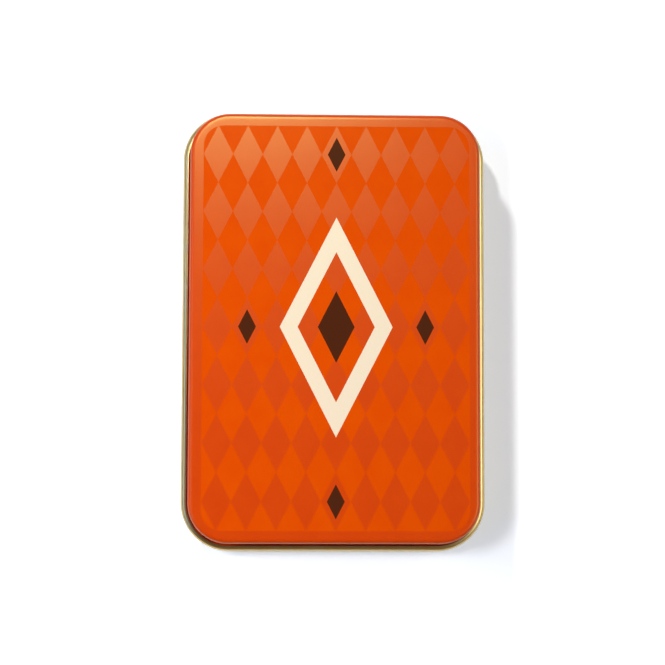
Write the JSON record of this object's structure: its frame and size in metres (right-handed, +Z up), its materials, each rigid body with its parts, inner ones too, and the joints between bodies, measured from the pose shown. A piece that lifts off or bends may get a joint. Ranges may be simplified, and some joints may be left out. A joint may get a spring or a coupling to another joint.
{
  "type": "match tin",
  "caption": "Flat two-piece slip-lid tinplate tin with rounded corners and a rolled edge, holding layers of long wooden safety matches, with a striking strip under the base.",
  "frame": {"origin": "centre of the underside, on the plane that the tin stands on", "axes": "+Z up out of the lid's top, +Y along the tin's length towards the match heads, +X across its width"},
  "size_m": [0.0758, 0.11, 0.02],
  "materials": {
    "printed_tinplate": "two orange inks over tinplate, satin with a glossier pattern, gold lacquer on the inside face",
    "gold_tinplate": "transparent gold lacquer on bright tinplate",
    "striker": "abrasive coating, matt",
    "matchwood": "bare aspen splint with a dipped brown head"
  },
  "bodies": {
    "base": {"base": "gold_tinplate", "striker_strip": "striker", "match_01": "matchwood", "match_02": "matchwood", "match_03": "matchwood", "match_04": "matchwood", "match_05": "matchwood", "match_06": "matchwood", "match_07": "matchwood", "match_08": "matchwood", "match_09": "matchwood", "match_10": "matchwood", "match_11": "matchwood", "match_12": "matchwood", "match_13": "matchwood", "match_14": "matchwood", "match_15": "matchwood", "match_16": "matchwood", "match_17": "matchwood", "match_18": "matchwood", "match_19": "matchwood", "match_20": "matchwood", "match_21": "matchwood", "match_22": "matchwood", "match_23": "matchwood", "match_24": "matchwood", "match_25": "matchwood", "match_26": "matchwood", "match_27": "matchwood", "match_28": "matchwood", "match_29": "matchwood", "match_30": "matchwood", "match_31": "matchwood", "match_32": "matchwood", "match_33": "matchwood", "match_34": "matchwood", "match_35": "matchwood", "match_36": "matchwood", "match_37": "matchwood", "match_38": "matchwood", "match_39": "matchwood", "match_40": "matchwood", "match_41": "matchwood", "match_42": "matchwood", "match_43": "matchwood", "match_44": "matchwood"},
    "lid": {"lid": "printed_tinplate"}
  },
  "joints": [
    {"name": "lid_lift", "type": "slide", "parent": "base", "child": "lid", "axis": [0, 0, 1], "range_m": [0, 0.06]}
  ]
}
